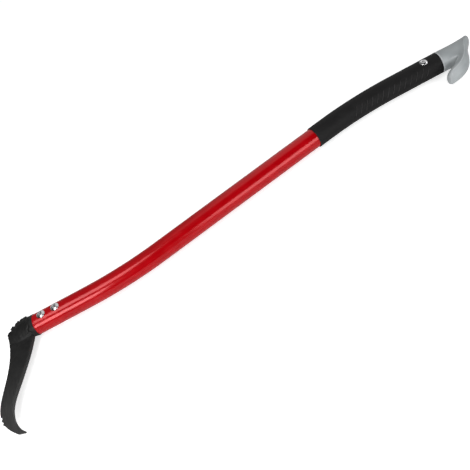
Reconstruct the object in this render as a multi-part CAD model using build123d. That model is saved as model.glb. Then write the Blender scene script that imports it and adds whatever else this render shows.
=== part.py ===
from build123d import *
import math
import os

# Hookaroon: a forged log hook on a double-bent tube handle with a grip and a pommel.
# Lengths are millimetres and angles degrees. The tool lies on its side: X runs from
# the hook to the pommel, the hook points to -Y, and the screw heads face up, +Z.
# While the pieces are made, the origin is the centre of the tube mouth at the hook.

# Shaft tube: three straight runs joined by two equal bends
TUBE_DIAMETER = 30.0
TUBE_WALL = 2.5
HEAD_RUN = 84.0
MIDDLE_RUN = 305.0
GRIP_RUN = 78.0
BEND_ANGLE = 11.35
BEND_RADIUS = 600.0

# Gap on each side where one piece slides into or over another
SLIDE_FIT = 0.15

# Hook blade: how far its point reaches from the shaft axis, and its thickness
HOOK_REACH = 153.5
BLADE_THICKNESS = 7.0
POINT_THICKNESS = 3.0
POINT_WIDTH = 2.0
# Share of the reach where the cheeks start to thin towards the point
POINT_TAPER_START = 0.68
# Edges of the blade: share of the reach, and distance behind the tube mouth
BACK_EDGE = [
    (0.0, 43.0), (0.15, 43.3), (0.40, 53.2), (0.58, 64.7),
    (0.76, 70.3), (0.86, 65.8), (0.945, 56.2),
]
BELLY_EDGE = [(0.10, 5.9), (0.37, 24.2), (0.55, 39.9), (0.70, 51.2), (0.81, 53.0), (0.92, 48.4)]
POINT_SETBACK = 40.7
# Small barbs behind the beak: shares of the back edge's length, and the depth
BARB_PLACES = [0.722, 0.755]
BARB_DEPTH = 2.4

# Knuckle between the blade and the tube: distance behind the mouth, centre height,
# half height and half thickness of each of its oval sections
KNUCKLE_SECTIONS = [(9.0, 3.0, 19.5, 13.0), (24.0, 3.0, 21.0, 9.5), (41.5, 0.0, 14.0, 6.0)]
# Toothed crest of the knuckle: an arch cut by round notches
CREST_CENTRE = (-18.0, -8.3)
CREST_RADIUS = 24.2
CREST_FIRST_ANGLE = 88.0
CREST_PITCH_ANGLE = 27.5
CREST_NOTCHES = 3
CREST_NOTCH_RADIUS = 5.0
CREST_NOTCH_DEPTH = 3.2

# Tang in the tube, and the half-round liners that pack it there
TANG_LENGTH = 58.0
COLLAR_LENGTH = 3.0
COLLAR_STEP = 0.5

# Screws with domed heads, and the sleeve nuts that they are driven into
SCREW_INSET = 16.0
SCREW_PITCH = 22.0
POMMEL_SCREW_INSET = 23.4
SCREW_HEAD_DIAMETER = 12.5
SCREW_RIM = 0.9
SCREW_DOME = 2.1
SCREW_SHANK_DIAMETER = 6.0
SCREW_SHANK_LENGTH = 19.0
SOCKET_WIDTH = 4.0
SOCKET_DEPTH = 1.9
NUT_BARREL_DIAMETER = 8.0
NUT_END_GAP = 1.5
NUT_FLOOR = 2.0
SEAT_DEPTH = 0.6
SEAT_MARGIN = 0.4

# Grip sleeve
GRIP_LENGTH = 220.0
GRIP_WALL = 1.2

# Pommel: its spigot in the tube, and the oval sections of its neck as distance past
# the tube end, centre height, half height and half width
SPIGOT_LENGTH = 46.0
SPIGOT_CORE_DIAMETER = 14.0
SPIGOT_CORE_DEPTH = 58.0
NECK_SECTIONS = [(14.0, 0.0, 16.2, 16.0), (40.0, 2.9, 17.6, 10.2), (66.0, 10.2, 13.2, 6.4)]
# Rounded rim that closes the neck and turns back below the grip as a toe. Oval sections
# from the tip of the heel to the tip of the toe: distance past the tube end, height,
# half thickness and half width
RIM_SECTIONS = [
    (60.8, 22.2, 1.6, 2.4), (58.9, 18.8, 4.2, 6.0), (54.4, 12.0, 5.6, 8.6),
    (37.4, -12.2, 5.4, 10.0), (20.6, -30.2, 9.2, 12.2), (0.6, -39.2, 7.8, 11.6),
    (-5.4, -41.6, 6.2, 9.8), (-9.2, -43.3, 3.2, 6.2),
]

# Sizes that follow from the ones above
tube_radius = TUBE_DIAMETER / 2
bore_radius = tube_radius - TUBE_WALL
grip_radius = tube_radius + SLIDE_FIT + GRIP_WALL
seat_height = tube_radius - SEAT_DEPTH
hole_radius = NUT_BARREL_DIAMETER / 2 + SLIDE_FIT
half_blade = BLADE_THICKNESS / 2
# The tang is as wide as the bore allows
tang_width = 2 * math.sqrt((bore_radius - SLIDE_FIT) ** 2 - half_blade ** 2)
# Longer than any piece is thick, for cuts that go right through
through = 4 * TUBE_DIAMETER


def shaft_centreline():
    """Centreline of the whole shaft, from the tube mouth to the tube end."""
    head_run = Line((0, 0), (HEAD_RUN, 0))
    lower_bend = JernArc(head_run @ 1, head_run % 1, BEND_RADIUS, BEND_ANGLE)
    middle_run = PolarLine(lower_bend @ 1, MIDDLE_RUN, direction=lower_bend % 1)
    upper_bend = JernArc(middle_run @ 1, middle_run % 1, BEND_RADIUS, -BEND_ANGLE)
    grip_run = PolarLine(upper_bend @ 1, GRIP_RUN, direction=upper_bend % 1)
    return Wire([head_run, lower_bend, middle_run, upper_bend, grip_run])


def pipe(path, outer_radius, inner_radius):
    """Round pipe along a path."""
    ring = Circle(outer_radius) - Circle(inner_radius)
    return sweep(Plane(path @ 0, z_dir=path % 0) * ring, path)


def cross_hole(place, radius):
    """Cutter for a hole right through the shaft, square to the tool's flat."""
    return Pos(place.X, place.Y, 0) * Cylinder(radius, through)


def oval_section(distance, centre_height, half_height, half_width):
    """Oval face across the X axis, for the lofted forgings and mouldings."""
    across = Plane((distance, centre_height, 0), x_dir=(0, 1, 0), z_dir=(1, 0, 0))
    return across * Ellipse(half_height, half_width)


def shaft_tube(path, screw_places):
    """Bent tube with cross holes and a flat seat under each screw and nut head."""
    tube = pipe(path, tube_radius, bore_radius)
    seat_cutter = Cylinder(SCREW_HEAD_DIAMETER / 2 + SEAT_MARGIN, tube_radius)
    for place in screw_places:
        tube -= cross_hole(place, hole_radius)
        for side in (1, -1):
            tube -= Pos(place.X, place.Y, side * (seat_height + tube_radius / 2)) * seat_cutter
    return tube


def blade():
    """Flat hooked blade, thinned towards its point."""
    back = Spline(
        *[(-setback, -share * HOOK_REACH) for share, setback in BACK_EDGE],
        (-POINT_SETBACK - POINT_WIDTH / 2, -HOOK_REACH),
    )
    belly = Spline(
        *[(-setback, -share * HOOK_REACH) for share, setback in BELLY_EDGE],
        (-POINT_SETBACK + POINT_WIDTH / 2, -HOOK_REACH + POINT_WIDTH / 2),
    )
    root = Polyline(belly @ 0, (-COLLAR_LENGTH, -half_blade), (-COLLAR_LENGTH, half_blade), back @ 0)
    point = Line(back @ 1, belly @ 1)
    plate = extrude(make_face(Wire([back, point, belly, *root.edges()])), half_blade, both=True)
    for place in BARB_PLACES:
        barb = Rectangle(BARB_DEPTH * math.sqrt(2), BARB_DEPTH * math.sqrt(2), rotation=45)
        corner = back.position_at(place)
        plate -= Pos(corner.X, corner.Y, 0) * extrude(barb, BLADE_THICKNESS, both=True)
    taper_start = -POINT_TAPER_START * HOOK_REACH
    thickness_line = Polyline(
        (TUBE_DIAMETER, half_blade), (taper_start, half_blade), (-HOOK_REACH, POINT_THICKNESS / 2),
        (-HOOK_REACH, -POINT_THICKNESS / 2), (taper_start, -half_blade), (TUBE_DIAMETER, -half_blade),
        close=True,
    )
    return plate & extrude(Plane.YZ * make_face(thickness_line), HOOK_REACH, both=True)


def knuckle():
    """Forged knuckle that turns the round tube mouth into the flat blade."""
    mouth = oval_section(-COLLAR_LENGTH, 0, tube_radius - SLIDE_FIT, tube_radius - SLIDE_FIT)
    sections = [mouth]
    for setback, centre_height, half_height, half_width in KNUCKLE_SECTIONS:
        sections.append(oval_section(-setback, centre_height, half_height, half_width))
    body = loft(sections) & Pos(*CREST_CENTRE) * Cylinder(CREST_RADIUS, through)
    notch_distance = CREST_RADIUS + CREST_NOTCH_RADIUS - CREST_NOTCH_DEPTH
    for index in range(CREST_NOTCHES):
        angle = math.radians(CREST_FIRST_ANGLE + index * CREST_PITCH_ANGLE)
        notch_x = CREST_CENTRE[0] + notch_distance * math.cos(angle)
        notch_y = CREST_CENTRE[1] + notch_distance * math.sin(angle)
        body -= Pos(notch_x, notch_y, 0) * Cylinder(CREST_NOTCH_RADIUS, through)
    return body


def hook_head(screw_places):
    """Blade, knuckle and tang forged as one piece, with holes for the sleeve nuts."""
    tang_start = -COLLAR_LENGTH - half_blade
    tang_size = TANG_LENGTH - tang_start
    tang = Pos(tang_start + tang_size / 2, 0, 0) * Box(tang_size, tang_width, BLADE_THICKNESS)
    head = blade() + knuckle() + tang
    for place in screw_places:
        head -= cross_hole(place, hole_radius)
    return head


def tang_liner(screw_places, side):
    """Half-round packer on one side of the tang, with half of the mouth's collar."""
    flat = half_blade + SLIDE_FIT
    half_plane = Pos(0, side * tube_radius) * Rectangle(through, TUBE_DIAMETER)
    packer = Circle(bore_radius - SLIDE_FIT) & half_plane
    packer -= Rectangle(through, 2 * flat)
    collar = Circle(tube_radius + COLLAR_STEP) & half_plane
    collar -= Rectangle(tang_width + 2 * SLIDE_FIT, 2 * flat)
    liner = extrude(Plane.YZ * packer, TANG_LENGTH) + extrude(Plane.YZ * collar, -COLLAR_LENGTH)
    for place in screw_places:
        liner -= cross_hole(place, hole_radius)
    return liner


def domed_head():
    """Low domed head with a hexagon socket, its seat on the XY plane."""
    radius = SCREW_HEAD_DIAMETER / 2
    rim_top = (radius, SCREW_RIM)
    crown = (0, SCREW_RIM + SCREW_DOME)
    sides = Polyline(crown, (0, 0), (radius, 0), rim_top)
    dome = TangentArc(crown, rim_top, tangent=(1, 0))
    head = revolve(Plane.XZ * make_face(Wire([*sides.edges(), dome])), Axis.Z)
    socket = RegularPolygon(SOCKET_WIDTH / 2, 6, major_radius=False)
    return head - Pos(0, 0, crown[1] - SOCKET_DEPTH) * extrude(socket, SOCKET_DEPTH)


def screw(place):
    """Domed screw, driven in from above."""
    hanging = (Align.CENTER, Align.CENTER, Align.MAX)
    shank = Cylinder(SCREW_SHANK_DIAMETER / 2, SCREW_SHANK_LENGTH, align=hanging)
    return Pos(place.X, place.Y, seat_height) * (domed_head() + shank)


def sleeve_nut(place):
    """Domed nut with a long threaded barrel, put in from below."""
    barrel_length = 2 * seat_height - NUT_END_GAP
    upright = (Align.CENTER, Align.CENTER, Align.MIN)
    barrel = Cylinder(NUT_BARREL_DIAMETER / 2, barrel_length, align=upright)
    bore = Cylinder(SCREW_SHANK_DIAMETER / 2 + SLIDE_FIT, barrel_length - NUT_FLOOR, align=upright)
    head = domed_head().rotate(Axis.X, 180)
    return Pos(place.X, place.Y, -seat_height) * (head + barrel - Pos(0, 0, NUT_FLOOR) * bore)


def grip_sleeve(path, screw_place):
    """Soft sleeve over the upper bend, with a hole that clears the pommel's screw."""
    first = 1 - GRIP_LENGTH / path.length
    sleeve = pipe(path.trim(first, 1), grip_radius, tube_radius + SLIDE_FIT)
    return sleeve - cross_hole(screw_place, SCREW_HEAD_DIAMETER / 2 + SEAT_MARGIN)


def pommel_rim(line):
    """Rounded rim of the pommel along its line, from the heel's tip to the toe's."""
    sections = []
    for distance, height, half_thickness, half_width in RIM_SECTIONS:
        along = line.tangent_at(Vector(distance, height))
        across = Plane((distance, height, 0), x_dir=(along.Y, -along.X, 0), z_dir=along)
        sections.append(across * scale(Circle(1), by=(half_thickness, half_width, 1)))
    return loft(sections)


def pommel(tube_end, screw_place):
    """Moulded pommel: cored spigot, neck, and a rim with a toe that stops the hand."""
    neck = oval_section(0, 0, grip_radius, grip_radius)
    body = loft([neck] + [oval_section(*section) for section in NECK_SECTIONS])
    line = Spline(*[section[:2] for section in RIM_SECTIONS])
    # The neck ends inside the rim, on the rim's line
    beyond = 2 * NECK_SECTIONS[-1][0]
    outside = Polyline(line @ 1, (RIM_SECTIONS[-1][0], -beyond), (beyond, -beyond), (beyond, beyond),
                       (RIM_SECTIONS[0][0], beyond), line @ 0)
    body -= extrude(make_face(Wire([line, *outside.edges()])), through, both=True)
    body += pommel_rim(line)
    upright = (Align.CENTER, Align.CENTER, Align.MIN)
    spigot = Cylinder(bore_radius - SLIDE_FIT, SPIGOT_LENGTH, align=upright)
    core = Cylinder(SPIGOT_CORE_DIAMETER / 2, SPIGOT_CORE_DEPTH, align=upright)
    body += Plane((0, 0, 0), z_dir=(-1, 0, 0)) * spigot
    body -= Plane((-SPIGOT_LENGTH, 0, 0), z_dir=(1, 0, 0)) * core
    return Pos(tube_end.X, tube_end.Y, 0) * body - cross_hole(screw_place, hole_radius)


def make_pieces():
    """Every piece by name, in the frame of the tube mouth."""
    path = shaft_centreline()
    head_places = [Vector(SCREW_INSET, 0), Vector(SCREW_INSET + SCREW_PITCH, 0)]
    pommel_place = path @ 1 - path % 1 * POMMEL_SCREW_INSET
    pieces = {
        "hook_head": hook_head(head_places),
        "tang_liner_upper": tang_liner(head_places, 1),
        "tang_liner_lower": tang_liner(head_places, -1),
        "shaft_tube": shaft_tube(path, head_places + [pommel_place]),
        "grip_sleeve": grip_sleeve(path, pommel_place),
        "pommel": pommel(path @ 1, pommel_place),
    }
    for index, name in enumerate(("front", "rear")):
        pieces[f"head_screw_{name}"] = screw(head_places[index])
        pieces[f"head_nut_{name}"] = sleeve_nut(head_places[index])
    pieces["pommel_screw"] = screw(pommel_place)
    pieces["pommel_nut"] = sleeve_nut(pommel_place)
    return pieces


pieces = make_pieces()
# The part's own origin: the middle of the box around the tool, on its resting plane
box = Compound(children=[Part(piece.wrapped) for piece in pieces.values()]).bounding_box()
to_origin = Pos(-box.center().X, -box.center().Y, -box.min.Z)
os.makedirs("parts", exist_ok=True)
for name, piece in pieces.items():
    export_step(to_origin * piece, f"parts/{name}.step")
print("size", [round(length, 2) for length in box.size])
print("tube mouth at", [round(value, 3) for value in to_origin.position])
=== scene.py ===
# %% [markdown]
# # A hookaroon, dressed for the studio
#
# A hookaroon is a log hook: a forged steel beak on a long handle, used to drag and turn
# timber without bending down. This one has a red tube handle with two bends, a rubber
# sleeve where the upper hand holds it, and a moulded pommel that stops the hand.
# The solids come from a CAD frame. This lesson gives them their finishes, softens the
# shapes that a forge or a mould would soften, and sets up the light and the camera.

# %% Load the frame
import math

import bmesh
import bpy
import numpy as np
from mathutils import Matrix, Vector, noise


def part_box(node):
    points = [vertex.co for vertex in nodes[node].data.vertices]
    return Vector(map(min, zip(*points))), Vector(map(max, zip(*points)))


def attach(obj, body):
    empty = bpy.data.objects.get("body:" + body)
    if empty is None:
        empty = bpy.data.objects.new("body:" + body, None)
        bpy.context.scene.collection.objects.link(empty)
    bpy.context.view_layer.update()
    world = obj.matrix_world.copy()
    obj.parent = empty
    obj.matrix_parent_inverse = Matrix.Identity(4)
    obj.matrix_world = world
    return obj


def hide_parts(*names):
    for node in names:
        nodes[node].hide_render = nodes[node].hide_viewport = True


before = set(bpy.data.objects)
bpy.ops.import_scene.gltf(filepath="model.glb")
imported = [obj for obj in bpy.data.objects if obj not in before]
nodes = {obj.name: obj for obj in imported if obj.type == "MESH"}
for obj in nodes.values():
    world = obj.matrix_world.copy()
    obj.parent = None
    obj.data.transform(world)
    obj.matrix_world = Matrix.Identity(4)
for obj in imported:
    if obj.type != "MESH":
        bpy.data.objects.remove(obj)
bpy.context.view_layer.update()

MM = 0.001
TINY = 0.001 * MM
print("pieces in the frame:", ", ".join(sorted(nodes)))

# %% [markdown]
# ## Where the camera stands
#
# The tool lies flat and is seen from its hook side, from well above. The camera is tilted
# so that the handle climbs across the picture. A camera can be aimed with a constraint,
# but here its three axes are worked out and put straight into its matrix: that keeps
# the tilt exact.

# %% Camera
scene = bpy.context.scene
AIM_POINT = Vector((-37.94, -4.28, 17.2)) * MM
CAMERA_DISTANCE = 884.96 * MM
CAMERA_HEIGHT_ANGLE = math.radians(49.0)
CAMERA_SIDE_ANGLE = math.radians(0.326)
CAMERA_TILT = math.radians(27.915)
CAMERA_LENS = 49.0
SENSOR_WIDTH = 36.0

flat = math.cos(CAMERA_HEIGHT_ANGLE)
view = Vector((
    math.sin(CAMERA_SIDE_ANGLE) * flat,
    math.cos(CAMERA_SIDE_ANGLE) * flat,
    -math.sin(CAMERA_HEIGHT_ANGLE),
))
level_right = Vector((math.cos(CAMERA_SIDE_ANGLE), -math.sin(CAMERA_SIDE_ANGLE), 0))
level_up = level_right.cross(view)
right = math.cos(CAMERA_TILT) * level_right - math.sin(CAMERA_TILT) * level_up
up = math.sin(CAMERA_TILT) * level_right + math.cos(CAMERA_TILT) * level_up
place = AIM_POINT - CAMERA_DISTANCE * view

camera_data = bpy.data.cameras.new("camera")
camera_data.lens = CAMERA_LENS
camera_data.sensor_width = SENSOR_WIDTH
camera = bpy.data.objects.new("camera", camera_data)
axes = Matrix((right, up, -view)).transposed().to_4x4()
camera.matrix_world = Matrix.Translation(place) @ axes
scene.collection.objects.link(camera)
scene.camera = camera
scene.view_settings.view_transform = "Standard"
print("camera at", [round(value, 3) for value in place])

# %% [markdown]
# ## Small tools for finishes
#
# Every finish below is a node tree: noise and ramps that feed one shader. A few short
# helpers keep those trees readable, because Blender's own calls need a line for each
# node, each number and each link.

# %% Node helpers
def new_finish(name):
    """Material with an empty node tree, and its shader."""
    finish = bpy.data.materials.new(name)
    finish.use_nodes = True
    tree = finish.node_tree
    tree.nodes.clear()
    output = tree.nodes.new("ShaderNodeOutputMaterial")
    shader = tree.nodes.new("ShaderNodeBsdfPrincipled")
    tree.links.new(shader.outputs["BSDF"], output.inputs["Surface"])
    return finish, tree, shader


def set_inputs(tree, node, inputs):
    """Gives each input of a node a number, or a link from another node's output."""
    for key, value in inputs.items():
        if isinstance(value, bpy.types.NodeSocket):
            tree.links.new(value, node.inputs[key])
        else:
            node.inputs[key].default_value = value


def add_node(tree, kind, inputs, **settings):
    """New node of a kind, with its settings and inputs."""
    node = tree.nodes.new("ShaderNode" + kind)
    for key, value in settings.items():
        setattr(node, key, value)
    set_inputs(tree, node, inputs)
    return node


def dress(item, finish):
    """Gives an object one finish all over."""
    item.data.materials.clear()
    item.data.materials.append(finish)
    print(item.name, "wears", finish.name)


# %% Finish helpers
def work_out(tree, operation, *values):
    """Result of one sum with one to three values."""
    return add_node(tree, "Math", dict(enumerate(values)), operation=operation).outputs[0]


def spread(tree, source, low, high, to_low, to_high):
    """A value moved from one range to another, held at the ends."""
    inputs = {"Value": source, "From Min": low, "From Max": high, "To Min": to_low, "To Max": to_high}
    return add_node(tree, "MapRange", inputs, interpolation_type="SMOOTHSTEP").outputs["Result"]


def speckle(tree, spot, scale, detail, roughness=0.5):
    """Noise from 0 to 1. A larger scale gives smaller specks."""
    inputs = {"Vector": spot, "Scale": scale, "Detail": detail, "Roughness": roughness}
    return add_node(tree, "TexNoise", inputs).outputs["Fac"]


def blend(tree, share, first, second):
    """Two colours mixed by a share from 0 to 1."""
    inputs = {0: share, 6: first, 7: second}
    return add_node(tree, "Mix", inputs, data_type="RGBA").outputs[2]


def mottle(tree, source, low, high, first, second):
    """One colour where a value is low and another where it is high."""
    return blend(tree, spread(tree, source, low, high, 0, 1), first, second)


def relief(tree, height, strength, depth, below=None):
    """Normal of a surface with bumps too small to model, on top of other bumps where given."""
    inputs = {"Height": height, "Strength": strength, "Distance": depth}
    if below is not None:
        inputs["Normal"] = below
    return add_node(tree, "Bump", inputs).outputs["Normal"]


# %% [markdown]
# ## Floor and room
#
# The tool is a studio cut-out: white all round. The floor is a matt white sheet that
# gives a little light of its own to the camera and to reflections, so it reads as white
# paper and still takes a soft shadow. A strong lamp on the floor would do it too,
# but would bleach the tool. The room is bright behind and dim in front, because a glossy
# tube only looks glossy when it has something dark to reflect as well. To the camera
# itself the room is white all round.

# %% Floor
FLOOR_HALF = 6.0
FLOOR_WHITE = 0.9
GLOW_TO_CAMERA = 0.64
GLOW_IN_MIRRORS = 0.05
WHITE = (1, 1, 1, 1)

floor_mesh = bpy.data.meshes.new("floor")
corners = [(x * FLOOR_HALF, y * FLOOR_HALF, 0) for x, y in ((-1, -1), (1, -1), (1, 1), (-1, 1))]
floor_mesh.from_pydata(corners, [], [(0, 1, 2, 3)])
floor = bpy.data.objects.new("floor", floor_mesh)
scene.collection.objects.link(floor)

paper, tree, shader = new_finish("white_paper")
rays = add_node(tree, "LightPath", {}).outputs
seen = work_out(tree, "MULTIPLY", rays["Is Camera Ray"], GLOW_TO_CAMERA)
set_inputs(tree, shader, {
    "Base Color": (FLOOR_WHITE, FLOOR_WHITE, FLOOR_WHITE, 1),
    "Roughness": 1.0,
    "Specular IOR Level": 0.0,
    "Emission Color": WHITE,
    "Emission Strength": work_out(tree, "MULTIPLY_ADD", rays["Is Glossy Ray"], GLOW_IN_MIRRORS, seen),
})
dress(floor, paper)

# %% Room light
ROOM_FRONT = 0.015
ROOM_BACK_LEFT = 0.16
ROOM_BACK_RIGHT = 0.75

world = bpy.data.worlds.new("studio")
scene.world = world
world.use_nodes = True
tree = world.node_tree
direction = add_node(tree, "TexCoord", {}).outputs["Generated"]
split = add_node(tree, "SeparateXYZ", {"Vector": direction}).outputs
back = spread(tree, split["X"], -0.12, 0.06, ROOM_BACK_LEFT, ROOM_BACK_RIGHT)
behind = spread(tree, split["Y"], 0.0, 0.35, 0.0, 1.0)
lit = work_out(tree, "MULTIPLY", back, behind)
level = work_out(tree, "ADD", lit, ROOM_FRONT)
seen = add_node(tree, "LightPath", {}).outputs["Is Camera Ray"]
shown = work_out(tree, "MAXIMUM", level, seen)
set_inputs(tree, tree.nodes["Background"], {"Color": WHITE, "Strength": shown})
print("room light from", ROOM_FRONT, "in front to", ROOM_BACK_RIGHT, "behind")

# %% [markdown]
# ## Softboxes
#
# The long streaks on the tube are the reflections of softboxes. Where each one has to
# stand follows from the mirror rule: the streak's place on the round tube gives a normal,
# and the normal sends the camera's line of sight off to the lamp. One box hangs over the
# hook end, and two stand in front, left and right of the camera. A fourth, from the side,
# fills the pommel and is too far round to show on the tube.

# %% Lamps
def softbox(name, place, aim, width, height, brightness):
    """Rectangular lamp. Its brightness is what a mirror would show, where 1 is white."""
    lamp = bpy.data.lights.new(name, "AREA")
    lamp.shape = "RECTANGLE"
    lamp.size = width
    lamp.size_y = height
    lamp.energy = brightness * math.pi * width * height
    stand = bpy.data.objects.new(name, lamp)
    stand.location = place
    stand.rotation_euler = (Vector(aim) - Vector(place)).to_track_quat("-Z", "Y").to_euler()
    scene.collection.objects.link(stand)
    print(name, "gives", round(lamp.energy, 1), "W")


softbox("overhead_box", (-0.56, -0.28, 1.5), (-0.5, -0.10, 0), 0.78, 0.74, 4.6)
softbox("front_left_box", (-0.68, -1.08, 0.72), (-0.28, 0.02, 0.02), 0.50, 0.64, 7.3)
softbox("front_right_box", (0.68, -1.05, 0.46), (0.06, 0.08, 0.02), 0.75, 0.70, 4.1)
softbox("side_box", (1.7, -0.1, 0.9), (0.1, 0.05, 0), 0.9, 0.8, 2.5)

# %% [markdown]
# ## The line of the shaft
#
# The tube was bent cold round a former in two places, by the same angle left and right.
# Tube and grip follow one line, so that line comes first. A curve object with a round
# bevel would follow it too, but rings set along the line can each have their own
# radius, which a rounded lip or a rib needs.

# %% Shaft line
HEAD_RUN = 84.0 * MM
MIDDLE_RUN = 305.0 * MM
GRIP_RUN = 78.0 * MM
BEND_RADIUS = 600.0 * MM
BEND_ANGLE = math.radians(11.35)
BEND_RUN = BEND_RADIUS * BEND_ANGLE
SHAFT_RUNS = [(HEAD_RUN, 0), (BEND_RUN, 1), (MIDDLE_RUN, 0), (BEND_RUN, -1), (GRIP_RUN, 0)]
SHAFT_LENGTH = sum(run for run, turn in SHAFT_RUNS)


def middle_of(node):
    """Middle of a node's box."""
    low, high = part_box(node)
    return (low + high) / 2


MOUTH = Vector((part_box("shaft_tube")[0].x, middle_of("head_screw_front").y, middle_of("shaft_tube").z))


def shaft_at(distance):
    """Point and direction of the shaft's line, this far from the tube mouth."""
    point, heading = MOUTH.copy(), 0.0
    for run, turn in SHAFT_RUNS:
        step = min(distance, run)
        if turn == 0:
            point += step * Vector((math.cos(heading), math.sin(heading), 0))
        else:
            after = heading + turn * step / BEND_RADIUS
            point.x += turn * BEND_RADIUS * (math.sin(after) - math.sin(heading))
            point.y -= turn * BEND_RADIUS * (math.cos(after) - math.cos(heading))
            heading = after
        distance -= step
    return point, Vector((math.cos(heading), math.sin(heading), 0))


TUBE_END = shaft_at(SHAFT_LENGTH)[0]
print("shaft length", round(SHAFT_LENGTH / MM, 1), "mm, tube end at", [round(v / MM, 1) for v in TUBE_END])


# %% Pieces from rings
def new_piece(name, mesh, stands_for):
    """Object from finished mesh data, that rides on the tool and replaces a solid."""
    data = bpy.data.meshes.new(name)
    mesh.to_mesh(data)
    mesh.free()
    piece = bpy.data.objects.new(name, data)
    scene.collection.objects.link(piece)
    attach(piece, "root")
    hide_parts(stands_for)
    return piece


def join_rings(mesh, first, second):
    """Faces between two rings of points. A ring of one point gives triangles."""
    count = max(len(first), len(second))
    for index in range(count):
        after = (index + 1) % count
        corners = [first[index % len(first)], first[after % len(first)]]
        corners += [second[after % len(second)], second[index % len(second)]]
        mesh.faces.new(list(dict.fromkeys(corners)))


# %% Pipes along the shaft
def between(first, last, step):
    """Even steps from first to last, both included."""
    count = max(1, round(abs(last - first) / step))
    return [first + (last - first) * index / count for index in range(count + 1)]


def pipe_outline(stations, outer, inner, lip):
    """Loop of (distance, radius) round the wall of a pipe whose ends are rounded."""
    start, end = stations[0], stations[-1]
    inside = [distance for distance in stations if start + lip < distance < end - lip]
    quarter = [math.radians(degrees) for degrees in range(0, 91, 18)]
    loop = [(distance, outer) for distance in inside]
    loop += [(end - lip + lip * math.sin(a), outer - lip + lip * math.cos(a)) for a in quarter]
    loop += [(end - lip + lip * math.cos(a), inner + lip - lip * math.sin(a)) for a in quarter]
    loop += [(distance, inner) for distance in reversed(inside)]
    loop += [(start + lip - lip * math.sin(a), inner + lip - lip * math.cos(a)) for a in quarter]
    loop += [(start + lip - lip * math.cos(a), outer - lip + lip * math.sin(a)) for a in quarter]
    return loop


def pipe_mesh(outline, segments, swell=None, lean=None):
    """Closed skin of rings along the shaft. Angles run from the top over the hook side."""
    mesh = bmesh.new()
    rings = []
    for distance, radius in outline:
        ring = []
        for index in range(segments):
            angle = 2 * math.pi * index / segments
            shift = lean(distance, angle) if lean else 0
            bulge = swell(distance, radius, angle) if swell else 0
            point, direction = shaft_at(distance + shift)
            hook_side = Vector((direction.y, -direction.x, 0))
            outward = Vector((0, 0, math.cos(angle))) + math.sin(angle) * hook_side
            ring.append(mesh.verts.new(point + (radius + bulge) * outward))
        rings.append(ring)
    for first, second in zip(rings, rings[1:] + rings[:1]):
        join_rings(mesh, first, second)
    bmesh.ops.recalc_face_normals(mesh, faces=mesh.faces)
    return mesh


# %% [markdown]
# Holes are cut with Blender's boolean modifier, as a drill would cut them. What the
# modifier shows is then kept as plain mesh data, so that no piece depends on another.
# Smooth shading hides the facets, but a drilled edge has to stay crisp.

# %% Holes and shading
HOLE_SEGMENTS = 72


def keep_modifiers(piece):
    """Turns what the modifiers show into the piece's own mesh."""
    shown = piece.evaluated_get(bpy.context.evaluated_depsgraph_get())
    piece_mesh = bpy.data.meshes.new_from_object(shown)
    piece.modifiers.clear()
    piece.data = piece_mesh
    piece_mesh.name = piece.name


def combine(piece, mesh, operation):
    """Joins a mesh to a piece, or cuts it out of the piece."""
    data = bpy.data.meshes.new("tool")
    mesh.to_mesh(data)
    mesh.free()
    tool = bpy.data.objects.new("tool", data)
    scene.collection.objects.link(tool)
    step = piece.modifiers.new("combine", "BOOLEAN")
    step.object = tool
    step.operation = operation
    step.solver = "EXACT"
    keep_modifiers(piece)
    bpy.data.objects.remove(tool)


def drill(piece, centre, radius, low, high):
    """Round hole along Z, from one height to another."""
    cutter = bmesh.new()
    middle = Matrix.Translation((centre.x, centre.y, (low + high) / 2))
    sizes = {"radius1": radius, "radius2": radius, "depth": high - low}
    bmesh.ops.create_cone(cutter, cap_ends=True, segments=HOLE_SEGMENTS, matrix=middle, **sizes)
    combine(piece, cutter, "DIFFERENCE")


def shade(piece, crease_degrees):
    """Smooth shading, kept crisp at edges sharper than the angle."""
    piece.data.polygons.foreach_set("use_smooth", [True] * len(piece.data.polygons))
    piece.data.set_sharp_from_angle(angle=math.radians(crease_degrees))
    print(piece.name, "has", len(piece.data.vertices), "points")


# %% [markdown]
# ## The red tube
#
# An aluminium tube, 30 mm across. Each screw and each nut sits on a small flat that a
# cutter left on the round wall, so the tube is drilled twice at each place: a hole right
# through, and a wider, shallow seat on both sides.

# %% Tube
TUBE_RADIUS = 15.0 * MM
BORE_RADIUS = 12.5 * MM
TUBE_LIP = 0.5 * MM
TUBE_SEGMENTS = 96
SEAT_HEIGHT = 14.4 * MM
SEAT_RADIUS = 6.65 * MM
BARREL_HOLE_RADIUS = 4.15 * MM
BELOW_TUBE = MOUTH.z - TUBE_RADIUS * 2
ABOVE_TUBE = MOUTH.z + TUBE_RADIUS * 2
SCREWS = ["head_screw_front", "head_screw_rear", "pommel_screw"]

stations = between(0, SHAFT_LENGTH, step=4 * MM)
tube_outline = pipe_outline(stations, TUBE_RADIUS, BORE_RADIUS, TUBE_LIP)
tube = new_piece("red_shaft_tube", pipe_mesh(tube_outline, TUBE_SEGMENTS), "shaft_tube")
for screw in SCREWS:
    spot = middle_of(screw)
    drill(tube, spot, BARREL_HOLE_RADIUS, BELOW_TUBE, ABOVE_TUBE)
    drill(tube, spot, SEAT_RADIUS, MOUTH.z + SEAT_HEIGHT, ABOVE_TUBE)
    drill(tube, spot, SEAT_RADIUS, BELOW_TUBE, MOUTH.z - SEAT_HEIGHT)
shade(tube, crease_degrees=35)

# %% [markdown]
# The finish is a clear red lacquer over bright metal. A plain red paint would have white
# reflections only. Here the metal below adds red ones, so the shader is a little
# metallic. Noise changes the gloss where hands have polished it, a finer noise gives the
# skin of sprayed lacquer, and the lip of the mouth is rubbed through and dirty in places.

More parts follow.
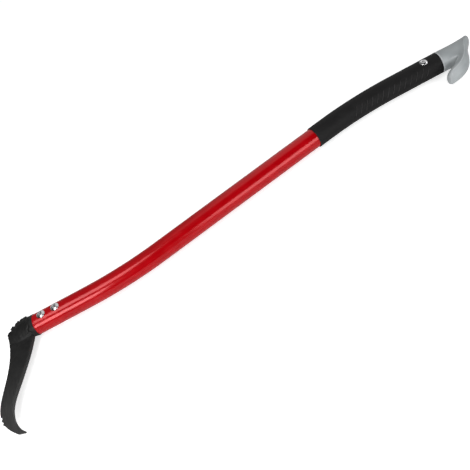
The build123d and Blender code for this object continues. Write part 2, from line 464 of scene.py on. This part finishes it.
# %% Red lacquer
DEEP_RED = (0.46, 0.0, 0.003, 1)
BRIGHT_RED = (0.525, 0.001, 0.005, 1)
DIRTY_METAL = (0.16, 0.09, 0.085, 1)

lacquer, tree, shader = new_finish("red_lacquer")
spot = add_node(tree, "TexCoord", {}).outputs["Object"]
red = mottle(tree, speckle(tree, spot, 45.0, 4.0), 0.3, 0.7, DEEP_RED, BRIGHT_RED)
along = add_node(tree, "SeparateXYZ", {"Vector": spot}).outputs["X"]
lip = spread(tree, along, MOUTH.x + 0.8 * MM, MOUTH.x + 0.2 * MM, 0, 1)
chips = spread(tree, speckle(tree, spot, 420.0, 5.0), 0.5, 0.62, 0, 1)
worn = work_out(tree, "MULTIPLY", lip, chips)
hands = speckle(tree, spot, 22.0, 8.0, 0.7)
spray = relief(tree, speckle(tree, spot, 700.0, 2.0), 0.03, 0.2 * MM)
set_inputs(tree, shader, {
    "Base Color": blend(tree, worn, red, DIRTY_METAL),
    "Metallic": 0.1,
    "IOR": 1.42,
    "Roughness": spread(tree, hands, 0.3, 0.72, 0.15, 0.21),
    "Normal": spray,
})
dress(tube, lacquer)

# %% [markdown]
# ## The grip sleeve
#
# A black rubber sleeve, stretched over the upper bend. A row of short, slanted ribs runs
# along the side where the fingers close. They could be a bump in the finish, but real ribs
# catch the light along one edge from any side, so the rings of the sleeve swell out there.
# The rings lean as the ribs do, so that the faces follow the ribs and keep them smooth.

# %% Ribs
GRIP_LENGTH = 220.0 * MM
GRIP_RADIUS = 16.35 * MM
GRIP_START = SHAFT_LENGTH - GRIP_LENGTH
RIB_FIRST = 556.0 * MM
RIB_PITCH = 9.54 * MM
RIB_COUNT = 14
RIB_WIDTH = 2.2 * MM
RIB_HEIGHT = 0.8 * MM
RIB_MIDDLE = math.radians(60)
RIB_HALF_ANGLE = math.radians(28)
RIB_END_SHARE = 0.4
RIB_SLANT = 0.65 * GRIP_RADIUS
RIBS_START = RIB_FIRST - RIB_PITCH / 2
RIBS_END = RIB_FIRST + RIB_PITCH * (RIB_COUNT - 0.5)


def soft_step(share):
    """A share held between 0 and 1, with a soft start and end."""
    share = min(1, max(0, share))
    return share * share * (3 - 2 * share)


def rib_swell(distance, radius, angle):
    """Height of the ribs at a place on the sleeve. Only its outside has any."""
    if radius < GRIP_RADIUS - 0.01 * MM:
        return 0
    index = min(max(round((distance - RIB_FIRST) / RIB_PITCH), 0), RIB_COUNT - 1)
    across = abs(distance - RIB_FIRST - index * RIB_PITCH) / (RIB_WIDTH / 2)
    round_way = abs(angle - RIB_MIDDLE) / RIB_HALF_ANGLE
    if across > 1 or round_way > 1:
        return 0
    return RIB_HEIGHT * math.cos(across * math.pi / 2) ** 2 * soft_step((1 - round_way) / RIB_END_SHARE)


def rib_lean(distance, angle):
    """Shift along the shaft that makes the rings, and the ribs on them, slant."""
    rise = soft_step((distance - GRIP_START) / (RIBS_START - GRIP_START))
    fall = soft_step((SHAFT_LENGTH - distance) / (SHAFT_LENGTH - RIBS_END))
    return -RIB_SLANT * rise * fall * math.sin(angle - RIB_MIDDLE)


# %% Grip
GRIP_BORE = 15.15 * MM
GRIP_LIP = 0.55 * MM
GRIP_SEGMENTS = 108
GRIP_HOLE_RADIUS = 6.35 * MM

stations = between(GRIP_START, RIBS_START, step=3 * MM)
stations += between(RIBS_START, RIBS_END, step=0.6 * MM)[1:]
stations += between(RIBS_END, SHAFT_LENGTH, step=2 * MM)[1:]
grip_outline = pipe_outline(stations, GRIP_RADIUS, GRIP_BORE, GRIP_LIP)
grip_mesh = pipe_mesh(grip_outline, GRIP_SEGMENTS, rib_swell, rib_lean)
grip = new_piece("ribbed_grip_sleeve", grip_mesh, "grip_sleeve")
drill(grip, middle_of("pommel_screw"), GRIP_HOLE_RADIUS, BELOW_TUBE, ABOVE_TUBE)
shade(grip, crease_degrees=50)

# %% [markdown]
# Rubber is nearly black and scatters light widely, so it is rough and has little
# reflection. A very fine stipple breaks up what is left, and a thin veil of dust makes
# some places a shade lighter. The hand has rubbed the ribs smoother and paler: the
# Geometry node's pointiness is high on what stands out.

# %% Rubber
CLEAN_RUBBER = (0.0075, 0.0072, 0.0074, 1)
DUSTY_RUBBER = (0.0125, 0.012, 0.0122, 1)
RUBBED_RUBBER = (0.05, 0.0492, 0.05, 1)

rubber, tree, shader = new_finish("black_rubber")
spot = add_node(tree, "TexCoord", {}).outputs["Object"]
dust = speckle(tree, spot, 70.0, 7.0, 0.65)
black = mottle(tree, dust, 0.35, 0.75, CLEAN_RUBBER, DUSTY_RUBBER)
sharp = add_node(tree, "NewGeometry", {}).outputs["Pointiness"]
rubbed = spread(tree, sharp, 0.51, 0.56, 0, 1)
rough = spread(tree, dust, 0.3, 0.7, 0.56, 0.68)
stipple = relief(tree, speckle(tree, spot, 2600.0, 2.0), 0.25, 0.2 * MM)
set_inputs(tree, shader, {
    "Base Color": blend(tree, rubbed, black, RUBBED_RUBBER),
    "Roughness": work_out(tree, "MULTIPLY_ADD", rubbed, -0.2, rough),
    "Specular IOR Level": 0.2,
    "Normal": stipple,
})
dress(grip, rubber)

# %% [markdown]
# ## Softening a solid
#
# A CAD solid has sharp edges, and neither a forging nor a moulding has any. Bevels on
# the solid's own edges would fail where lofted faces meet. So a copy of the solid gets a
# new, even skin by voxel remesh, and that skin is relaxed: each point moves towards
# the middle of its neighbours. Relaxing only the hollow places fills inside corners,
# as a mould maker's fillet does, and leaves the ridges alone.

# %% Even skin
def solid_copy(node):
    """Copy of a solid's mesh in which faces share their corners."""
    mesh = bmesh.new()
    mesh.from_mesh(nodes[node].data)
    bmesh.ops.remove_doubles(mesh, verts=mesh.verts, dist=TINY)
    return mesh


def drop_crumbs(mesh):
    """Deletes loose bits, so that only the largest closed shell is left."""
    waiting = set(mesh.verts)
    shells = []
    while waiting:
        front = [waiting.pop()]
        shell = []
        while front:
            point = front.pop()
            shell.append(point)
            near = {edge.other_vert(point) for edge in point.link_edges} & waiting
            waiting -= near
            front.extend(near)
        shells.append(shell)
    shells.sort(key=len)
    for shell in shells[:-1]:
        bmesh.ops.delete(mesh, geom=shell, context="VERTS")


def even_skin(node, voxel):
    """Copy of a solid's surface with points spaced evenly all over."""
    mesh = solid_copy(node)
    data = bpy.data.meshes.new("skin")
    mesh.to_mesh(data)
    mesh.free()
    rough = bpy.data.objects.new("skin", data)
    scene.collection.objects.link(rough)
    remesh = rough.modifiers.new("even", "REMESH")
    remesh.mode = "VOXEL"
    remesh.voxel_size = voxel
    keep_modifiers(rough)
    mesh = bmesh.new()
    mesh.from_mesh(rough.data)
    bpy.data.objects.remove(rough)
    drop_crumbs(mesh)
    return mesh


# %% Relaxing
class Skin:
    """Points of a piece as arrays, with what is needed to relax them."""

    RELAX_STEP = 0.5
    FILL_STEP = 0.8
    PASSES_PER_NORMALS = 4

    def __init__(self, piece):
        self.mesh = piece.data
        self.points = np.empty(len(self.mesh.vertices) * 3)
        self.mesh.vertices.foreach_get("co", self.points)
        self.points = self.points.reshape(-1, 3)
        ends = np.empty(len(self.mesh.edges) * 2, dtype=np.int32)
        self.mesh.edges.foreach_get("vertices", ends)
        first, second = ends.reshape(-1, 2).T
        self.here = np.concatenate([first, second])
        self.there = np.concatenate([second, first])
        self.count = np.bincount(self.here, minlength=len(self.points))

    def store(self):
        """Writes the points back into the mesh."""
        self.mesh.vertices.foreach_set("co", self.points.ravel())
        self.mesh.update()

    def normals(self):
        """Outward direction at each point."""
        self.store()
        out = np.empty(len(self.points) * 3)
        self.mesh.vertex_normals.foreach_get("vector", out)
        return out.reshape(-1, 3)

    def pull(self):
        """Way from each point to the middle of its neighbours."""
        around = self.points[self.there]
        total = [np.bincount(self.here, around[:, axis], len(self.points)) for axis in range(3)]
        return np.stack(total, axis=1) / self.count[:, None] - self.points

    def relax(self, passes, share):
        """Wears all edges round. The share, 0 to 1, may differ from point to point."""
        for _ in range(passes):
            self.points += self.RELAX_STEP * np.reshape(share, (-1, 1)) * self.pull()
        self.store()

    def fill_hollows(self, passes, share):
        """Fills inside corners and leaves ridges alone."""
        for number in range(passes):
            if number % self.PASSES_PER_NORMALS == 0:
                outward = self.normals()
            rise = np.maximum((self.pull() * outward).sum(axis=1), 0)
            self.points += self.FILL_STEP * (share * rise)[:, None] * outward
        self.store()


# %% Shares and distances
def ease(values, low, high):
    """0 at low and 1 at high, held beyond them, with a soft change between."""
    share = np.clip((values - low) / (high - low), 0, 1)
    return share * share * (3 - 2 * share)


def plan_from(start, places):
    """Places in plan, given in millimetres from a point on the shaft."""
    return np.array(start[:2]) + np.array(places) * MM


def line_distance(points, line):
    """Distance in plan from each point to a line through given places."""
    nearest = np.full(len(points), np.inf)
    for first, second in zip(line, line[1:]):
        way = second - first
        share = np.clip((points[:, :2] - first) @ way / (way @ way), 0, 1)
        foot = first + share[:, None] * way
        nearest = np.minimum(nearest, np.linalg.norm(points[:, :2] - foot, axis=1))
    return nearest


# %% [markdown]
# ## The forged head
#
# The blade, the knuckle with its toothed crest and the tang are one forging. The long
# edges of the blade are well rounded. The crest, the barbs and the point keep their bite,
# so they are relaxed less. Which part is which follows from places in the frame.

# %% Head
HEAD_VOXEL = 0.5 * MM
KNUCKLE_FOOT = (4.0 * MM, -8.0 * MM)
BACK_EDGE_END = (-98.0 * MM, -85.0 * MM)
FRONT_EDGE_END = (-122.0 * MM, -112.0 * MM)
FRONT_EDGE = (-383.0 * MM, -375.0 * MM)

head = new_piece("forged_hook_head", even_skin("hook_head", HEAD_VOXEL), "hook_head")
skin = Skin(head)
x, y = skin.points[:, :2].T
below_knuckle = ease(y, *KNUCKLE_FOOT)
front = ease(x, *FRONT_EDGE) * ease(y, *FRONT_EDGE_END)
blade = below_knuckle * np.maximum(ease(y, *BACK_EDGE_END), front)
skin.relax(3, 0.5 + 0.5 * blade)
skin.relax(4, blade)
print("head skin has", len(skin.points), "points")

# %% [markdown]
# Three places of the beak were drawn out a little by the smith: the corner under the
# point, and both barbs. Each nudge moves what is near it and fades out with distance.

# %% Beak
# Place from the tube mouth, extent and move, all in millimetres.
NUDGES = [
    ((-50.7, -149.5), 8.0, (-0.6, -0.8)),
    ((-67.8, -124.8), 5.5, (-1.0, -2.0)),
    ((-68.8, -119.8), 4.0, (-0.4, -0.9)),
]

for place, extent, move in NUDGES:
    away = np.linalg.norm(skin.points[:, :2] - plan_from(MOUTH, place), axis=1)
    skin.points[:, :2] += (1 - ease(away, 0, extent * MM))[:, None] * np.array(move) * MM
print("beak nudged in", len(NUDGES), "places")

# %% [markdown]
# The crest of the knuckle is a row of saw teeth: a long slope, then a short step up to
# the next tip. The solid has plain hollows there. In angles round the middle of the crest,
# each point moves in or out by the difference between the saw line and the hollows, so
# the teeth need no cutting.

# %% Crest
CREST_MIDDLE = plan_from(MOUTH, (-18.0, -8.3))
CREST_RADIUS = 24.2 * MM
CREST_FADE = (13.0 * MM, 21.0 * MM)
KNUCKLE_FRONT = (-348.5 * MM, -352.0 * MM)
HOLLOW_ANGLES = (88.0, 115.5, 143.0)
HOLLOW_SPAN = 30.0
HOLLOW_RADIUS = 5.0 * MM
HOLLOW_MIDDLE = 26.0 * MM
SAW_ANGLES = [45, 55, 58, 64, 93.5, 98.5, 119.5, 124, 136, 139.5, 151, 158, 163]
SAW_RADII = [24.2, 23.5, 21.7, 24.9, 21.8, 25.2, 21.6, 25.3, 25.2, 22.2, 25.0, 25.8, 24.2]

from_middle = skin.points[:, :2] - CREST_MIDDLE
reach = np.linalg.norm(from_middle, axis=1)
angle = np.degrees(np.arctan2(from_middle[:, 1], from_middle[:, 0]))
hollowed = np.full(len(reach), CREST_RADIUS)
for place in HOLLOW_ANGLES:
    turn = np.radians(angle - place)
    depth = HOLLOW_RADIUS ** 2 - (HOLLOW_MIDDLE * np.sin(turn)) ** 2
    wall = HOLLOW_MIDDLE * np.cos(turn) - np.sqrt(np.maximum(depth, 0))
    in_hollow = (depth > 0) & (abs(angle - place) < HOLLOW_SPAN)
    hollowed = np.where(in_hollow, np.minimum(hollowed, wall), hollowed)
knuckle = (1 - below_knuckle) * ease(skin.points[:, 0], *KNUCKLE_FRONT)
saw = np.interp(angle, SAW_ANGLES, np.array(SAW_RADII) * MM)
change = (saw - hollowed) * knuckle * ease(reach, *CREST_FADE)
change[(angle < SAW_ANGLES[0]) | (angle > SAW_ANGLES[-1])] = 0
skin.points[:, :2] += from_middle * (change / np.maximum(reach, TINY))[:, None]
print("crest moved by up to", round(abs(change).max() / MM, 2), "mm")

# %% [markdown]
# Hammer and die leave shallow dents all over the knuckle. A groove runs from each notch of
# the crest a little way over the cheeks, and a crease runs round the boss where it meets
# the tube. All are small moves along the outward direction.

# %% Dents, grooves and the crease
DENT_DEPTH = 0.5 * MM
NOTCH_ANGLES = (58.0, 93.5, 119.5, 139.5)
GROOVE_DEPTH = 0.8 * MM
GROOVE_HALF_WIDTH = 1.4 * MM
GROOVE_FADE = (14.0 * MM, 19.0 * MM)
CREASE_LINE = [(-2.5, -2.0), (-5.4, -5.4), (-9.5, -9.1), (-10.4, -12.7), (-5.8, -14.5)]
CREASE_DEPTH = 1.1 * MM
CREASE_HALF_WIDTH = 2.2 * MM


def dent(point):
    """Uneven height of forged steel: coarse dents with finer ones on them."""
    return noise.noise(point * 130) + 0.6 * noise.noise(point * 290)


outward = skin.normals()
sink = -DENT_DEPTH * np.array([dent(Vector(point)) for point in skin.points])
for place in NOTCH_ANGLES:
    arc = np.radians(abs(angle - place)) * reach
    sink += GROOVE_DEPTH * np.clip(1 - arc / GROOVE_HALF_WIDTH, 0, 1) * ease(reach, *GROOVE_FADE)
from_crease = line_distance(skin.points, plan_from(MOUTH, CREASE_LINE))
sink += CREASE_DEPTH * (1 - ease(from_crease, 0, CREASE_HALF_WIDTH))
skin.points -= outward * (knuckle * sink)[:, None]
skin.relax(1, 0.6 * knuckle)
shade(head, crease_degrees=70)

# %% [markdown]
# The steel is blackened after forging. Towards the point the black is thinner, because
# that end is ground and rubs on timber, and fine grinding lines run along the blade.
# Sharp edges are rubbed brighter: the Geometry node's pointiness finds them.

# %% Black steel
FORGE_BLACK = (0.0075, 0.0075, 0.0075, 1)
FORGE_SCALE = (0.013, 0.0128, 0.0125, 1)
GROUND_DARK = (0.034, 0.034, 0.0335, 1)
GROUND_LIGHT = (0.056, 0.055, 0.054, 1)
RUBBED_EDGE = (0.05, 0.048, 0.046, 1)
GRINDING = {"Rotation": (0, 0, math.radians(-14)), "Scale": (1500, 45, 600)}

forged, tree, shader = new_finish("blackened_steel")
spot = add_node(tree, "TexCoord", {}).outputs["Object"]
along = add_node(tree, "SeparateXYZ", {"Vector": spot}).outputs["Y"]
to_point = spread(tree, along, -5 * MM, -125 * MM, 0, 1)
stretched = add_node(tree, "Mapping", {"Vector": spot, **GRINDING}).outputs["Vector"]
lines = speckle(tree, stretched, 1.0, 3.0)
scale_marks = speckle(tree, spot, 160.0, 7.0, 0.6)
dark = mottle(tree, scale_marks, 0.3, 0.7, FORGE_BLACK, FORGE_SCALE)
ground = mottle(tree, lines, 0.3, 0.7, GROUND_DARK, GROUND_LIGHT)
black = blend(tree, to_point, dark, ground)
sharp = add_node(tree, "NewGeometry", {}).outputs["Pointiness"]
rubbed = spread(tree, sharp, 0.56, 0.66, 0, 0.4)
coarse = relief(tree, scale_marks, 0.12, 0.3 * MM)
fine = relief(tree, lines, 0.05, 0.2 * MM, below=coarse)
set_inputs(tree, shader, {
    "Base Color": blend(tree, rubbed, black, RUBBED_EDGE),
    "Roughness": spread(tree, scale_marks, 0.3, 0.7, 0.44, 0.58),
    "Specular IOR Level": 0.3,
    "Normal": fine,
})
dress(head, forged)

# %% [markdown]
# ## The pommel
#
# A moulded end in grey plastic: a neck, a heel that carries on the line of the handle, and
# a toe that turns back so that the hand can't slip off. What sits inside the tube is left
# nearly as it is, and only the outside is softened in full.

# %% Pommel
POMMEL_VOXEL = 0.7 * MM

pommel = new_piece("moulded_pommel", even_skin("pommel", POMMEL_VOXEL), "pommel")
skin = Skin(pommel)
past_end = ease(skin.points[:, 0], TUBE_END.x + 0.5 * MM, TUBE_END.x + 3 * MM)
below_grip = ease(skin.points[:, 1], TUBE_END.y - 18 * MM, TUBE_END.y - 22 * MM)
outside = np.maximum(past_end, below_grip)
skin.relax(4, 0.2 + 0.8 * outside)
print("pommel skin has", len(skin.points), "points")

# %% [markdown]
# The neck runs flush into the heel, so the gap between the two is raised to a web there.
# Towards the toe a deep crease stays, and its inside corner is filled. The web ends at the
# line of the rim, which is given from the heel to the toe.

# %% Web and fold
RIM_PLACES = [
    (51, 11), (46, 2.9), (41.6, -5.4),
    (36.7, -13), (31, -20.5), (25, -26.9),
    (18, -32.5), (8, -37.8), (-3, -41),
]
WEB_HEIGHT = 10.3 * MM

past_x, past_y = (skin.points[:, :2] - np.array(TUBE_END[:2])).T
rim_x, rim_y = np.array(RIM_PLACES[::-1]).T * MM
rim_here = np.interp(past_y, rim_y, rim_x)
height = skin.points[:, 2] - MOUTH.z
web = ease(past_x, 3 * MM, 18 * MM) * ease(past_x, rim_here + 1 * MM, rim_here - 1 * MM)
web *= ease(abs(height), 0, 3 * MM) * ease(past_y, 4 * MM, -4 * MM)
lift = web * np.maximum(WEB_HEIGHT - abs(height), 0)
skin.points[:, 2] += np.sign(height) * lift
print("web raised by up to", round(lift.max() / MM, 1), "mm")

neck_side = ease(past_x, 4 * MM, 12 * MM) * ease(past_x, rim_here, rim_here - 4 * MM)
skin.relax(40, outside * neck_side * ease(past_y, 2 * MM, -6 * MM))
skin.fill_hollows(110, outside)
skin.fill_hollows(140, outside * ease(past_y, -27 * MM, -19 * MM))
skin.relax(3, outside)

# %% [markdown]
# A crisp ridge follows the rim from the heel to the toe, with a long slope towards the neck
# and a short one towards the butt. A small bead closes the neck against the grip.

# %% Ridge and bead
RIDGE_HEIGHT = 1.3 * MM
RIDGE_NECK_SIDE = 9.0 * MM
RIDGE_BUTT_SIDE = 3.6 * MM
BEAD_HEIGHT = 0.3 * MM
BEAD_WIDTH = 2.4 * MM
BEAD_LIMIT = 18.0 * MM

height = skin.points[:, 2] - MOUTH.z
above = np.sign(height) * ease(abs(height), 2 * MM, 6 * MM)
from_rim = line_distance(skin.points, plan_from(TUBE_END, RIM_PLACES))
slope_width = np.where(past_x < rim_here, RIDGE_NECK_SIDE, RIDGE_BUTT_SIDE)
skin.points[:, 2] += above * RIDGE_HEIGHT * np.clip(1 - from_rim / slope_width, 0, 1)

along = (skin.points[:, 0] - TUBE_END.x) / BEAD_WIDTH
from_axis = skin.points[:, 1:] - np.array((TUBE_END.y, MOUTH.z))
on_neck = np.linalg.norm(from_axis, axis=1)
on_bead = (along > 0) & (along < 1) & (on_neck > TUBE_RADIUS) & (on_neck < BEAD_LIMIT)
bead = np.where(on_bead, np.sin(np.pi * np.clip(along, 0, 1)), 0)
skin.points[:, 1:] += from_axis * (BEAD_HEIGHT * bead / np.maximum(on_neck, TINY))[:, None]
skin.relax(1, 0.5 * outside)
shade(pommel, crease_degrees=70)

# %% [markdown]
# The plastic is filled and mid grey, with the fine spark-eroded grain of its mould. Ridges
# get a painted highlight: they are lighter where pointiness is high. The lower side of neck
# and toe by the finger gap gets painted light where the toe shades it, and so does the
# bottom of the fold between the two.

# %% Grey moulding
DARK_GREY = (0.312, 0.338, 0.348, 1)
LIGHT_GREY = (0.348, 0.374, 0.384, 1)
# The next three greys are painted light: a lit patch by the finger gap, a lit fold bottom, a highlight on
# the ridges.
PAINTED_LIGHT_GREY = (0.48, 0.51, 0.52, 1)
FOLD_PAINTED_LIGHT_GREY = (0.62, 0.65, 0.66, 1)
PAINTED_HIGHLIGHT_GREY = (0.60, 0.62, 0.64, 1)
FOLD_PLACE = TUBE_END + Vector((17.2, -20.2, 0)) * MM

moulding, tree, shader = new_finish("grey_moulding")
spot = add_node(tree, "TexCoord", {}).outputs["Object"]
split = add_node(tree, "SeparateXYZ", {"Vector": spot}).outputs
cloud = speckle(tree, spot, 55.0, 6.0)
grey = mottle(tree, cloud, 0.3, 0.7, DARK_GREY, LIGHT_GREY)

# Painted light: the lower side of neck and toe by the finger gap is made lighter, where the toe shades it.
hook_side = spread(tree, split["Y"], TUBE_END.y - 4 * MM, TUBE_END.y - 13 * MM, 0, 1)
grip_side = spread(tree, split["X"], TUBE_END.x + 24 * MM, TUBE_END.x + 4 * MM, 0, 0.75)
grey = blend(tree, work_out(tree, "MULTIPLY", hook_side, grip_side), grey, PAINTED_LIGHT_GREY)

# Painted light: the bottom of the fold between neck and toe is made lighter, where it lies in shade.
in_plan = add_node(tree, "VectorMath", {0: spot, 1: (1, 1, 0)}, operation="MULTIPLY").outputs[0]
to_fold = {0: in_plan, 1: (FOLD_PLACE.x, FOLD_PLACE.y, 0)}
from_fold = add_node(tree, "VectorMath", to_fold, operation="DISTANCE").outputs["Value"]
near_fold = spread(tree, from_fold, 11 * MM, 3 * MM, 0, 1)
from_centre = work_out(tree, "SUBTRACT", split["Z"], MOUTH.z)
deep = spread(tree, work_out(tree, "ABSOLUTE", from_centre), 12 * MM, 9 * MM, 0, 0.85)
grey = blend(tree, work_out(tree, "MULTIPLY", near_fold, deep), grey, FOLD_PAINTED_LIGHT_GREY)

# Painted highlight: ridges are made lighter where pointiness is high.
sharp = add_node(tree, "NewGeometry", {}).outputs["Pointiness"]
painted_highlight = spread(tree, sharp, 0.506, 0.535, 0, 0.8)
grain = relief(tree, speckle(tree, spot, 1900.0, 2.0), 0.12, 0.2 * MM)
set_inputs(tree, shader, {
    "Base Color": blend(tree, painted_highlight, grey, PAINTED_HIGHLIGHT_GREY),
    "Roughness": spread(tree, cloud, 0.3, 0.7, 0.36, 0.46),
    "Normal": grain,
})
dress(pommel, moulding)

# %% [markdown]
# ## Screws and sleeve nuts
#
# Each is turned from bar and has a low dome with a hexagon socket. A lathe works with
# rings round one axis, and so does this helper. A ring can be round or six-sided, so the
# socket is made of rings as well and needs no boolean cut.

# %% Turned pieces
TURNED_SEGMENTS = 72


def turned(name, centre, rings, stands_for):
    """Skin of rings (radius, height, six-sided) in mm round a vertical axis, closed at the ends."""
    mesh = bmesh.new()
    loops = []
    for radius, height, six_sided in rings:
        loop = []
        for index in range(1 if radius == 0 else TURNED_SEGMENTS):
            angle = 2 * math.pi * index / TURNED_SEGMENTS
            reach = radius
            if six_sided:
                reach = radius / math.cos((angle + math.pi / 6) % (math.pi / 3) - math.pi / 6)
            offset = Vector((reach * math.cos(angle), reach * math.sin(angle), height)) * MM
            loop.append(mesh.verts.new(centre + offset))
        loops.append(loop)
    for first, second in zip(loops, loops[1:]):
        join_rings(mesh, first, second)
    bmesh.ops.recalc_face_normals(mesh, faces=mesh.faces)
    piece = new_piece(name, mesh, stands_for)
    shade(piece, crease_degrees=40)
    return piece


# %% Domed head
DOME_RADIUS = 10.35
DOME_HEIGHT = 3.0
DOME_RING_RADII = (6.0, 5.6, 5.1, 4.6, 4.1, 3.6, 3.1, 2.8)
RIM_RINGS = [(5.95, 0, 0), (6.15, 0.08, 0), (6.25, 0.3, 0), (6.25, 0.75, 0), (6.2, 0.92, 0)]
SOCKET_RINGS = [(2.62, 2.6, 0), (2.1, 2.42, 1), (2, 2.25, 1), (2, 1.25, 1), (1.7, 1.1, 1), (0, 0.8, 0)]


def domed_head(up):
    """Rings of a domed head from its seat to the bottom of its socket, upwards or downwards."""
    rings = list(RIM_RINGS)
    for radius in DOME_RING_RADII:
        rings.append((radius, DOME_HEIGHT - DOME_RADIUS + math.sqrt(DOME_RADIUS ** 2 - radius ** 2), 0))
    rings += SOCKET_RINGS
    return [(radius, up * height, six_sided) for radius, height, six_sided in rings]


print("a domed head has", len(domed_head(1)), "rings")

# %% Screws and nuts
SHANK_RINGS = [(0, -19, 0), (2.5, -19, 0), (3, -18.5, 0), (3, -0.3, 0), (3.3, 0, 0)]
SLEEVE_RINGS = [
    (0, 2, 0), (3.15, 2, 0), (3.15, 27, 0), (3.45, 27.3, 0),
    (3.75, 27.3, 0), (4, 27.05, 0), (4, 0, 0),
]

fasteners = []
for screw in SCREWS:
    nut = screw.replace("screw", "nut")
    spot = middle_of(screw)
    top = Vector((spot.x, spot.y, MOUTH.z + SEAT_HEIGHT))
    bottom = Vector((spot.x, spot.y, MOUTH.z - SEAT_HEIGHT))
    fasteners.append(turned("domed_" + screw, top, SHANK_RINGS + domed_head(1), screw))
    fasteners.append(turned("domed_" + nut, bottom, SLEEVE_RINGS + domed_head(-1), nut))

# %% [markdown]
# Bright steel is a metal shader with a clear but not perfect mirror. Turning leaves fine
# circles round the axis: the distance from the middle of the piece's own box gives them.
# The socket is painted darker: painted shade.

# %% Bright steel
DULL_STEEL = (0.68, 0.68, 0.69, 1)
CLEAN_STEEL = (0.82, 0.82, 0.83, 1)
SOCKET_PAINTED_SHADE = (0.22, 0.215, 0.21, 1)

steel, tree, shader = new_finish("turned_steel")
box_spot = add_node(tree, "TexCoord", {}).outputs["Generated"]
from_axis = add_node(tree, "VectorMath", {0: box_spot, 1: (0.5, 0.5, 0)}, operation="SUBTRACT").outputs[0]
flat_way = add_node(tree, "VectorMath", {0: from_axis, 1: (1, 1, 0)}, operation="MULTIPLY").outputs[0]
radius = add_node(tree, "VectorMath", {0: flat_way}, operation="LENGTH").outputs["Value"]
wave = work_out(tree, "SINE", work_out(tree, "MULTIPLY", radius, 260.0))
turning = relief(tree, wave, 0.03, 0.1 * MM)
spot = add_node(tree, "TexCoord", {}).outputs["Object"]
smear = speckle(tree, spot, 380.0, 5.0)
bright = mottle(tree, smear, 0.35, 0.7, DULL_STEEL, CLEAN_STEEL)
# Painted shade: the socket is made darker.
socket = spread(tree, radius, 0.20, 0.165, 0, 0.4)
set_inputs(tree, shader, {
    "Base Color": blend(tree, socket, bright, SOCKET_PAINTED_SHADE),
    "Metallic": 1.0,
    "Roughness": spread(tree, smear, 0.3, 0.7, 0.14, 0.24),
    "Normal": turning,
})
for piece in fasteners:
    dress(piece, steel)

# %% [markdown]
# ## The liners
#
# Two half-round packers hold the flat tang in the round tube, and their collars close the
# mouth. Only the collars show. A thin lip of each reaches over the tube. Its front edge is
# cut at a slant, so it is long on the back of the tool and runs out towards the point. The
# lip is a strip of sections round half the tube, joined to a copy of the solid.

# %% Liners
# Sizes of the lip are in millimetres from the middle of the tube mouth.
LIP_START = -1.0
LIP_SLANT = 0.148
LIP_RUNS_OUT = -12.3
LIP_SEAT = 15.05
LIP_OUTSIDE = 15.45
LIP_ROUNDING = 0.2
LIP_ANGLES = np.radians(np.linspace(0.2, 179.8, 60))


def lipped_liner(node, side):
    """Copy of a liner's solid with its half of the lip, on the upper (1) or lower (-1) side."""
    liner = new_piece("lipped_" + node, solid_copy(node), node)
    strip = bmesh.new()
    sections = []
    for angle in LIP_ANGLES:
        front = LIP_SLANT * (LIP_OUTSIDE * math.cos(angle) - LIP_RUNS_OUT)
        section = [(LIP_START, LIP_SEAT), (front, LIP_SEAT), (front, LIP_OUTSIDE - LIP_ROUNDING)]
        section += [(front - LIP_ROUNDING, LIP_OUTSIDE), (LIP_START, LIP_OUTSIDE)]
        places = [Vector((x, r * math.cos(angle), side * r * math.sin(angle))) for x, r in section]
        sections.append([strip.verts.new(MOUTH + place * MM) for place in places])
    for first, second in zip(sections, sections[1:]):
        join_rings(strip, first, second)
    strip.faces.new(sections[0])
    strip.faces.new(sections[-1])
    bmesh.ops.recalc_face_normals(strip, faces=strip.faces)
    combine(liner, strip, "UNION")
    shade(liner, crease_degrees=35)
    return liner


liners = [lipped_liner("tang_liner_upper", 1), lipped_liner("tang_liner_lower", -1)]

# %% [markdown]
# The liners are a hard black plastic with a little sheen. A flat black would look like a
# hole beside the red tube, so noise changes both its colour and its gloss a little, and
# a fine grain breaks up the reflections.

# %% Liner plastic
BLACK_PLASTIC = (0.007, 0.007, 0.007, 1)
PALER_PLASTIC = (0.012, 0.012, 0.012, 1)

plastic, tree, shader = new_finish("black_plastic")
spot = add_node(tree, "TexCoord", {}).outputs["Object"]
cloud = speckle(tree, spot, 90.0, 5.0)
grain = relief(tree, speckle(tree, spot, 1500.0, 2.0), 0.15, 0.2 * MM)
set_inputs(tree, shader, {
    "Base Color": mottle(tree, cloud, 0.3, 0.7, BLACK_PLASTIC, PALER_PLASTIC),
    "Roughness": spread(tree, cloud, 0.3, 0.7, 0.42, 0.56),
    "Specular IOR Level": 0.3,
    "Normal": grain,
})
for liner in liners:
    dress(liner, plastic)
